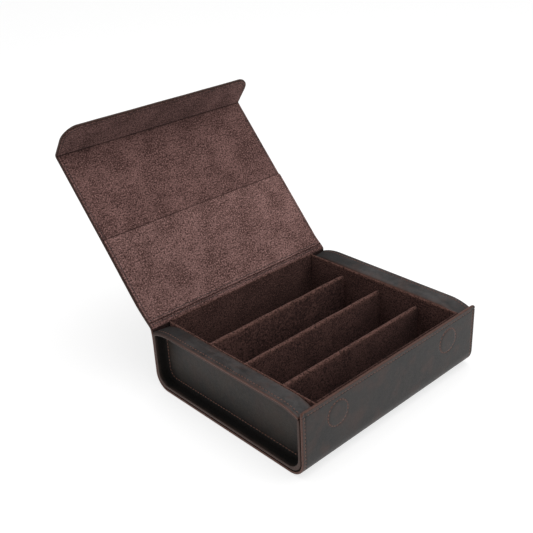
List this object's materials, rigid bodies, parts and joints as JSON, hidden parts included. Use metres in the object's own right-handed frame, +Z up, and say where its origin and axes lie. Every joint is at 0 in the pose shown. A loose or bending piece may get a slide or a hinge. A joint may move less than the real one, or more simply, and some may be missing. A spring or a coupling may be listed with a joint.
{
  "type": "eyeglasses case",
  "caption": "Rectangular leather case for folded eyeglasses, with suede compartments under a hinged lid whose folding flap closes on magnets over the front wall.",
  "frame": {"origin": "centre of the flat underside, which rests on the table", "axes": "+X along the hinge to the right seen from the front, +Y towards the hinge at the back, +Z up"},
  "size_m": [0.205, 0.2873, 0.2083],
  "materials": {
    "dark_leather": "satin",
    "suede_lining": "matte",
    "stiffening_board": "matte",
    "magnet_steel": "satin",
    "thread": "matte"
  },
  "bodies": {
    "base": {"outer_wrap": "dark_leather", "wrap_board": "stiffening_board", "tray_lining": "suede_lining", "base_magnet_left": "magnet_steel", "base_magnet_right": "magnet_steel", "tray_wall_left": "suede_lining", "tray_wall_right": "suede_lining", "end_core_left": "stiffening_board", "end_core_right": "stiffening_board", "gusset_left": "dark_leather", "gusset_right": "dark_leather", "shoulder_left": "dark_leather", "shoulder_right": "dark_leather", "hinge_cover": "dark_leather", "hinge_lining": "suede_lining", "divider_cover_1": "suede_lining", "divider_board_1": "stiffening_board", "divider_cover_2": "suede_lining", "divider_board_2": "stiffening_board", "divider_cover_3": "suede_lining", "divider_board_3": "stiffening_board"},
    "lid": {"lid_cover": "dark_leather", "lid_board": "stiffening_board", "lid_lining": "suede_lining", "lid_pocket": "suede_lining", "crease_cover": "dark_leather", "crease_lining": "suede_lining"},
    "flap": {"flap_cover": "dark_leather", "flap_board": "stiffening_board", "flap_lining": "suede_lining", "flap_magnet_left": "magnet_steel", "flap_magnet_right": "magnet_steel"}
  },
  "joints": [
    {"name": "lid_hinge", "type": "hinge", "parent": "base", "child": "lid", "pos_m": [0, 0.082, 0.0554], "axis": [-1, 0, 0], "range_deg": [-131.4, 48.6], "deforming": ["hinge_cover", "hinge_lining"]},
    {"name": "flap_crease", "type": "hinge", "parent": "lid", "child": "flap", "pos_m": [0, 0.19685, 0.17932], "axis": [1, 0, 0], "range_deg": [-77.5, 12.5], "deforming": ["crease_cover", "crease_lining"]}
  ]
}
